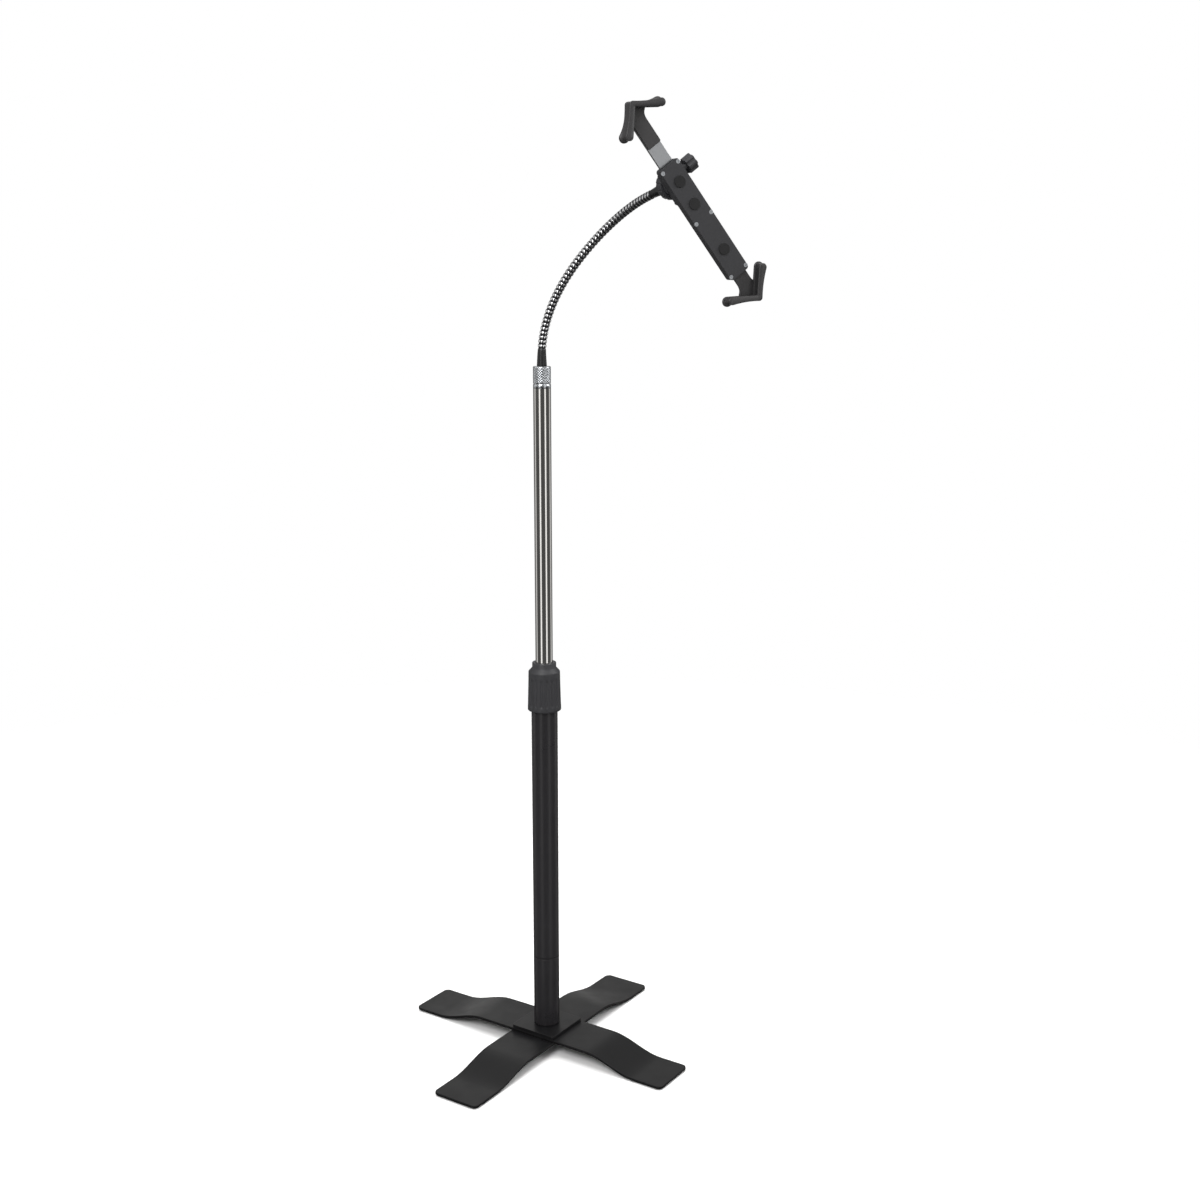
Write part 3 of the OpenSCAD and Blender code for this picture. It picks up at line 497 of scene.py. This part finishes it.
# Painted shade: the faces down in the grooves get a dark, rougher steel, so the hollows between the ribs look
# shaded
hose_groove_painted_shade = metal("groove_painted_shade", "#3a3a3c", "#4c4c4f", (0.3, 0.45),
                    (5.5556, 5.5556, 5.5556))
# Dipped PVC: darker than the mouldings and a little glossy, with the dip's ripple of 1.2 mm
sleeve_pvc = coating("dipped_black_pvc", "#0f1011", "#18191a", (0.3, 0.42), 1.2, 0.3)


def rib_line(first, last):
    """Half section of the hose between two places along it, with a rib every pitch."""
    line = [(GROOVE_R * MM, first)]
    middle = (math.floor(first / RIB_PITCH) + 0.5) * RIB_PITCH
    while middle < last:
        line += [(r * MM, middle + along * MM) for along, r in RIB
                 if first < middle + along * MM < last]
        middle += RIB_PITCH
    return line + [(GROOVE_R * MM, last)]


def follow_bend(bm, corner, before, after):
    """Bends a straight form along Z on to the arc that rounds off one corner of the neck."""
    angle = before.angle(after)
    inward = (after - before * math.cos(angle)).normalized()
    side = before.cross(inward)
    radius = HALF_LINK / math.tan(angle / 2)
    centre = corner - before * HALF_LINK + inward * radius
    for v in bm.verts:
        x, y, s = v.co
        if s <= -HALF_LINK:
            v.co = corner + before * s + inward * x + side * y
        elif s >= HALF_LINK:
            out = inward * math.cos(angle) - before * math.sin(angle)
            v.co = corner + after * s + out * x + side * y
        else:
            a = angle * (s + HALF_LINK) / (2 * HALF_LINK)
            out = inward * math.cos(a) - before * math.sin(a)
            v.co = centre - out * radius + out * x + side * y
    bmesh.ops.recalc_face_normals(bm, faces=bm.faces)


for i, corner in enumerate(bend_at):
    before, after = ways[i], ways[i + 1]
    first = -1 * MM if i == 0 else -HALF_LINK
    last = 2 * HALF_LINK if i == len(bend_at) - 1 else HALF_LINK
    bm = turned(rib_line(first, last), steps=40)
    bmesh.ops.holes_fill(bm, edges=[e for e in bm.edges if e.is_boundary], sides=0)
    for face in bm.faces:
        # The crests get the chrome, and the faces in the grooves get the dark steel of painted shade
        middle = face.calc_center_median()
        face.material_index = 0 if math.hypot(middle.x, middle.y) > CREST_R else 1
    follow_bend(bm, corner, before, after)
    hose = new_piece(bm, "hose_%02d" % (i + 1), hose_chrome, None, "chrome",
                     "neck_link_%d" % (i + 1), sharp=75)
    # The second material is the painted shade in the grooves
    hose.data.materials.append(hose_groove_painted_shade)
    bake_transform(hose)
    if i == 0:
        taper = [(7.0 - 1.3 * k / 12, -24.6 + 22.6 * k / 12) for k in range(13)]
        sleeve = [(5.0, -43), (5.0, -25), (6.7, -25)] + taper
        sleeve += [(5.3, -1.0), (4.4, -0.8), (4.4, -43), (5.0, -43)]
        bm = turned([(r * MM, z * MM) for r, z in sleeve], steps=64)
        follow_bend(bm, corner, before, after)
        foot = new_piece(bm, "lower_sleeve_rubber", sleeve_pvc, None, "black_plastic",
                         "lower_sleeve", sharp=50)
        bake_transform(foot)

sleeve = [(4.4, -0.5), (5.2, -0.5), (5.5, -0.2), (7.0, 22.0), (6.8, 23.2), (6.0, 24.0),
          (3.55, 24.0), (3.55, 12), (4.4, 10), (4.4, -0.5)]
bm = turned([(r * MM, z * MM) for r, z in sleeve], steps=64)
neck_end = Matrix.Translation(bend_at[-1] + ways[-1] * 2 * HALF_LINK)
neck_way = ways[-1].to_track_quat("Z", "Y").to_matrix().to_4x4()
bmesh.ops.transform(bm, matrix=neck_end @ neck_way, verts=bm.verts)
new_piece(bm, "upper_sleeve_rubber", sleeve_pvc, "neck_12", "black_plastic", "upper_sleeve",
          sharp=50)

# Ball joint
# A turned steel ball on its stud, held in a nylon seat and cup by a fluted ring nut. The cup is
# moulded with a flange, which four zinc plated screws hold to the rail.
SMALL_CROSS = 1.5 * MM
WIDE_CROSS = 1.7 * MM
CUP_EDGE = 0.4 * MM
NUT_EDGE = 0.3 * MM
HEAD_RIM = 0.2 * MM
RECESS_DRAFT = 0.05 * MM
RECESS_DEPTH = 0.4
ARM_HALF = 0.3


def merged_copy(node):
    """A bmesh in the exact form of a CAD node, with its flat faces made whole."""
    bm = bmesh.new()
    bm.from_mesh(frame["nodes"][node].data)
    bmesh.ops.remove_doubles(bm, verts=bm.verts, dist=1e-6)
    bmesh.ops.dissolve_limit(bm, angle_limit=math.radians(0.5), verts=bm.verts, edges=bm.edges)
    return bm


def soft_copy(node, material, body, slot, bevel):
    """A piece in the form of a CAD node, with its sharp edges rounded."""
    return new_piece(merged_copy(node), node + "_moulding", material, body, slot, node, sharp=35,
                     bevel=bevel)


def cross_screws(node, body, out, arm):
    """Screws in the form of a CAD node, with a cross pressed into the heads that face outwards."""
    bm = merged_copy(node)
    out = Vector(out)
    first = out.orthogonal().normalized()
    second = out.cross(first)
    heads = [f for f in bm.faces
             if f.normal.dot(out) > 0.99 and len(f.verts) > 40 and f.calc_area() > 3 * arm * arm]
    bmesh.ops.inset_individual(bm, faces=heads, thickness=HEAD_RIM)
    for head in heads:
        middle = head.calc_center_bounds()
        for v in head.verts:
            away = v.co - middle
            turn = math.atan2(away.dot(second), away.dot(first))
            off = (turn + math.pi / 4) % (math.pi / 2) - math.pi / 4
            beside = ARM_HALF * arm / max(0.01, abs(math.sin(off)))
            v.co = middle + away.normalized() * min(arm / math.cos(off), beside)
    bmesh.ops.inset_individual(bm, faces=heads, thickness=RECESS_DRAFT, depth=-RECESS_DEPTH * arm)
    return new_piece(bm, node + "_crosshead", zinc_plate, body, "zinc_steel", node, sharp=35)


finish_nodes(zinc_plate, "ball_stud", "ball")
cross_screws("socket_screws", "cradle", (0, 1, 0), SMALL_CROSS)
finish_nodes(moulded_black, "ball_seat")
soft_copy("socket_cup", moulded_black, "cradle", "black_plastic", CUP_EDGE)
soft_copy("clamp_ring", moulded_black, "clamp_ring", "black_plastic", NUT_EDGE)

# Rail
# A moulded channel across the back of the cradle, closed by a screwed cover with three round
# rubber buffers on its face. The slide bar runs between the two.
RAIL_EDGE = 0.5 * MM
cross_screws("cover_screws", "cradle", (0, -1, 0), WIDE_CROSS)
soft_copy("rail_channel", moulded_black, "cradle", "black_plastic", RAIL_EDGE)
soft_copy("rail_cover", moulded_black, "cradle", "black_plastic", RAIL_EDGE)
soft_copy("back_buffers", moulded_rubber, "cradle", "rubber", RAIL_EDGE)

# Slide bar
# Flat bar of drawn aluminium, brushed and satin anodised. It slides in the rail and carries the
# upper grip on two countersunk screws.
SLIDE_EDGE = 0.35 * MM
# Anodised aluminium: an even satin sheen. Its spots are 2.5 mm, far coarser than brush marks
satin_bar = metal("brushed_aluminium", "#8f9194", "#a9abae", (0.3, 0.42), (2.5, 2.5, 2.5))
bm = merged_copy("slide_bar")
corners = [e for e in bm.edges if e.calc_length() > 4 * MM and e.calc_face_angle(0) > 1]
bmesh.ops.bevel(bm, geom=corners, offset=SLIDE_EDGE, segments=2, profile=0.5, affect="EDGES",
                material=-1)
new_piece(bm, "slide_bar_flat", satin_bar, "slider", "aluminium", "slide_bar", sharp=35, flat=True)
cross_screws("upper_grip_screws", "slider", (0, 1, 0), WIDE_CROSS)
cross_screws("lower_grip_screws", "cradle", (0, 1, 0), SMALL_CROSS)

# Corner grips
# Nylon mouldings that hook round two opposite corners of what is held: two fingers with a lip in
# front, a flange and a fan behind and a diagonal stem. Ribbed rubber strips are glued in them.

# Sizes are in mm from the held corner
HELD_WIDTH = 178
HELD_HEIGHT = 234
FINGER_GAP = 1.4
ROOT_HEIGHT = 4.4
LIP_ROOT = 3
LIP_END = 1
EDGE = 0.7
WALL_INSET = 0.4
FINGER_STEPS = 14
TIP_STEPS = 12
CORNER_STEPS = 8
# Round end, reach, bend of the outer edge, and the angle at which that meets the round end
FRONT_PADDLE = (10.4, 43.5, 2, math.radians(14.6))
BACK_PADDLE = (13, 45.5, 3, math.radians(29.55))
seat = Vector(next(m for m in frame["record"]["mounts"] if m["name"] == "tablet_seat")["pos_m"])
# Glass filled nylon: a shade greyer than the ABS, with a soft sheen. Its grain is drawn 0.9 mm
# wide so that it shows
grip_nylon = coating("moulded_grip_nylon", "#292829", "#343334", (0.36, 0.5), 0.9, 0.3)


def paddle(end, reach, power, lead, inset):
    """Pairs of places on a finger's outer and inner edge, from the held corner to its tip."""
    r, mid_x, mid_z = end / 2 - inset, reach - end / 2, end / 2 - LIP_END
    slope = (mid_z - r + LIP_ROOT - inset) / mid_x
    inner_corner = (LIP_ROOT - inset) / (1 + slope)
    meet = Vector((mid_x - r * math.sin(lead), mid_z + r * math.cos(lead)))
    root = ROOT_HEIGHT - inset
    pairs = []
    for k in range(FINGER_STEPS):
        share = k / FINGER_STEPS
        x = meet.x * share
        within = max(x, inner_corner)
        pairs.append(((x, root + (meet.y - root) * share ** power),
                      (within, inset - LIP_ROOT + slope * within)))
    for k in range(TIP_STEPS + 1):
        a = (math.pi / 2 + lead) * k / TIP_STEPS - lead
        x = mid_x + r * math.sin(a)
        pairs.append(((x, mid_z + r * math.cos(a)),
                      (x, mid_z - r * math.cos(a) if a > 0 else inset - LIP_ROOT + slope * x)))
    return [(Vector(a), Vector(b)) for a, b in pairs]


def finger_section(lip, lip_face, wall, flange, flange_face):
    """Section of a finger, from its front lip over the wall to its flange and back inside. Each
    point is a depth behind the middle of what is held, and a place on one of the edges."""
    rise = [(6.0, 0.08), (7.2, 0.3), (7.9, 0.6), (8.4, 0.88), (8.9, 1.0)]
    line = [(-6.0, lip_face[1]), (-6.0, lip_face[0]), (-5.8, lip_face[0].lerp(lip[0], 0.7)),
            (-5.3, lip[0]), (-4.4, lip[0]), (-4.0, wall[0]), (4.0, wall[0])]
    line += [(y, wall[0].lerp(flange[0], share)) for y, share in rise]
    line += [(11.2, flange[0]), (11.7, flange_face[0].lerp(flange[0], 0.7)),
             (11.9, flange_face[0]), (11.9, flange_face[1]), (11.2, flange[1]), (8.9, flange[1]),
             (8.3, flange_face[1]), (8.3, wall[1]), (-4.0, wall[1]), (-4.0, lip_face[1]),
             (-4.3, lip[1]), (-5.3, lip[1])]
    return [(p.x, y, p.y) for y, p in line]


def on_corner(bm, upper):
    """Moves a form drawn about the held corner to its place on the stand."""
    turn = Matrix.Rotation(0 if upper else math.pi, 4, "Y")
    corner = Matrix.Translation((-HELD_WIDTH * MM / 2, 0, HELD_HEIGHT * MM / 2))
    bmesh.ops.transform(bm, matrix=Matrix.Translation(seat) @ turn @ corner @ Matrix.Scale(MM, 4),
                        verts=bm.verts)
    bmesh.ops.recalc_face_normals(bm, faces=bm.faces)


def soft_plate(outline, low, high, rim, cuts=()):
    """A plate over a flat outline, with a soft rim, and cut across at given places."""
    bm = bmesh.new()
    under = bm.faces.new([bm.verts.new((x, y, low)) for x, y in outline])
    over = bmesh.ops.extrude_face_region(bm, geom=[under])["geom"]
    bmesh.ops.translate(bm, vec=(0, 0, high - low),
                        verts=[v for v in over if isinstance(v, bmesh.types.BMVert)])
    bmesh.ops.recalc_face_normals(bm, faces=bm.faces)
    rims = [e for e in bm.edges if e.verts[0].co.z == e.verts[1].co.z]
    bmesh.ops.bevel(bm, geom=rims, offset=rim, segments=3, profile=0.5, affect="EDGES",
                    material=-1)
    for at in cuts:
        slice_across(bm, at)
    bmesh.ops.dissolve_degenerate(bm, edges=bm.edges, dist=1e-3)
    return bm


edges = [paddle(*FRONT_PADDLE, inset) for inset in (0, EDGE, WALL_INSET)]
edges += [paddle(*BACK_PADDLE, inset) for inset in (0, EDGE)]
edges[2] = [(a, Vector((b.x if b.x > 3 else a.x, max(FINGER_GAP, b.y)))) for a, b in edges[2]]
along_top = [finger_section(*pairs) for pairs in zip(*edges)]
down_left = [[(-z, y, -x) for x, y, z in section] for section in along_top]
round_corner = []
for k in range(1, CORNER_STEPS):
    # The section turns about the held corner, and its inner places stay where the edges meet
    a = math.radians(90 * k / CORNER_STEPS)
    outer = Vector((-math.sin(a), math.cos(a)))
    places = [(outer * pairs[0][0].y, pairs[0][1]) for pairs in edges]
    places[2] = (places[2][0], Vector((-FINGER_GAP, FINGER_GAP)))
    round_corner.append(finger_section(*places))
sections = along_top[::-1] + round_corner + down_left

# The stem runs diagonally inwards from a fan that joins the two fingers
STEM_IN = 59
STEM_HALF = 10.2
STEM_ROUND = 2.5
STEM_THICK = 3.4
STEM_BACK = 11.8
FAN_R = 22
FAN_EDGE = 1
FAN_STEPS = 8
NECK_IN = 7
NECK_TURN = 14
NECK_TURN_LEFT = 8
inward = Vector((HELD_WIDTH, -HELD_HEIGHT)).normalized()
beside = Vector((-inward.y, inward.x))
heading = math.degrees(math.atan2(inward.y, inward.x))
splay = math.degrees(math.asin(STEM_HALF / FAN_R))


def fan_place(degrees):
    """The place on the fan's rim in one direction from the held corner."""
    a = math.radians(degrees)
    return Vector((FAN_R * math.cos(a), FAN_R * math.sin(a)))


def curve(a, mid, b):
    """Seven places on a soft curve between two others."""
    return [a * (1 - t) ** 2 + mid * 2 * t * (1 - t) + b * t * t for t in [k / 6 for k in range(7)]]


right, left = fan_place(heading + splay), fan_place(heading - splay)
rim_end = math.degrees(math.asin(FAN_EDGE / FAN_R))
right_end, left_end = heading + splay + NECK_TURN, heading - splay - NECK_TURN_LEFT
tip_right = inward * STEM_IN + beside * STEM_HALF
tip_left = inward * STEM_IN - beside * STEM_HALF
stem_outline = [Vector((-FAN_EDGE, FAN_EDGE))]
stem_outline += [fan_place(rim_end - (rim_end - right_end) * k / FAN_STEPS)
                 for k in range(FAN_STEPS)]
stem_outline += curve(fan_place(right_end), right, right + inward * NECK_IN)
stem_outline += curve(tip_right - inward * STEM_ROUND, tip_right, tip_right - beside * STEM_ROUND)
stem_outline += curve(tip_left + beside * STEM_ROUND, tip_left, tip_left - inward * STEM_ROUND)
stem_outline += curve(left + inward * NECK_IN, left, fan_place(left_end))
stem_outline += [fan_place(left_end - (90 + left_end + rim_end) * k / FAN_STEPS)
                 for k in range(1, FAN_STEPS + 1)]
stand_up = Matrix.Translation((0, STEM_BACK, 0)) @ Matrix.Rotation(math.pi / 2, 4, "X")

# Each strip is 1.1 mm thick, with a rib every 2 mm on its gripping side
STRIP_FROM = 8
STRIP_TO = 36.3
STRIP_WIDE = 4.3
STRIP_ROUND = 2
STRIP_FACE = 0.2
STRIP_BACK = 1.34
STRIP_RIM = 0.25
STRIP_RIB = 0.4
STRIP_CUT = 0.25
strip_corners = ((STRIP_TO, STRIP_WIDE, 0), (STRIP_FROM, STRIP_WIDE, 90), (STRIP_FROM, 0, 180),
                 (STRIP_TO, 0, 270))
strip_outline = [(x + STRIP_ROUND * math.cos(math.radians(a + 15 * k)),
                  y + STRIP_ROUND * math.sin(math.radians(a + 15 * k)))
                 for x, y, a in strip_corners for k in range(7)]
strip_low = STRIP_FROM - STRIP_ROUND
strip_cuts = [strip_low + STRIP_CUT * k for k in range(1, 128)]

for upper, body in ((True, "slider"), (False, "cradle")):
    label = "upper" if upper else "lower"
    bm = bmesh.new()
    rings = []
    for section in sections:
        ring = [bm.verts.new(p) for p in section]
        rings.append([bm.edges.new(pair) for pair in zip(ring, ring[1:] + ring[:1])])
    for one, two in zip(rings, rings[1:]):
        bmesh.ops.bridge_loops(bm, edges=one + two)
    bmesh.ops.remove_doubles(bm, verts=bm.verts, dist=1e-3)
    bmesh.ops.dissolve_degenerate(bm, edges=bm.edges, dist=1e-3)
    bmesh.ops.holes_fill(bm, edges=[e for e in bm.edges if e.is_boundary], sides=0)
    on_corner(bm, upper)
    new_piece(bm, label + "_grip_fingers", grip_nylon, body, "black_plastic", label + "_grip",
              sharp=50)

    bm = soft_plate([tuple(p) for p in stem_outline], 0, STEM_THICK, EDGE)
    bmesh.ops.transform(bm, matrix=stand_up, verts=bm.verts)
    on_corner(bm, upper)
    new_piece(bm, label + "_grip_stem", grip_nylon, body, "black_plastic", sharp=50, flat=True)

    for lining in ("along", "down"):
        bm = soft_plate(strip_outline, STRIP_FACE, STRIP_BACK, STRIP_RIM, strip_cuts)
        for v in bm.verts:
            # Only the flat of the face is ribbed, inside the soft rim
            if v.co.z < 0.3 and -1.2 < v.co.y < 5.5:
                v.co.z += STRIP_RIB / 2 * (1 - math.cos(math.pi * (v.co.x - strip_low)))
        if lining == "down":
            for v in bm.verts:
                v.co = (-v.co.z, v.co.y, -v.co.x)
        on_corner(bm, upper)
        new_piece(bm, "%s_grip_lining_%s" % (label, lining), moulded_rubber, body, "rubber",
                  label + "_grip_linings", sharp=50)

# Lock knob
# A lobed moulding on a zinc plated stud, screwed through the channel's side on to the slide bar.
# Turning it in locks the bar.
KNOB_EDGE = 0.6 * MM
soft_copy("lock_knob", moulded_black, "lock_knob", "black_plastic", KNOB_EDGE)
finish_nodes(zinc_plate, "knob_screw")
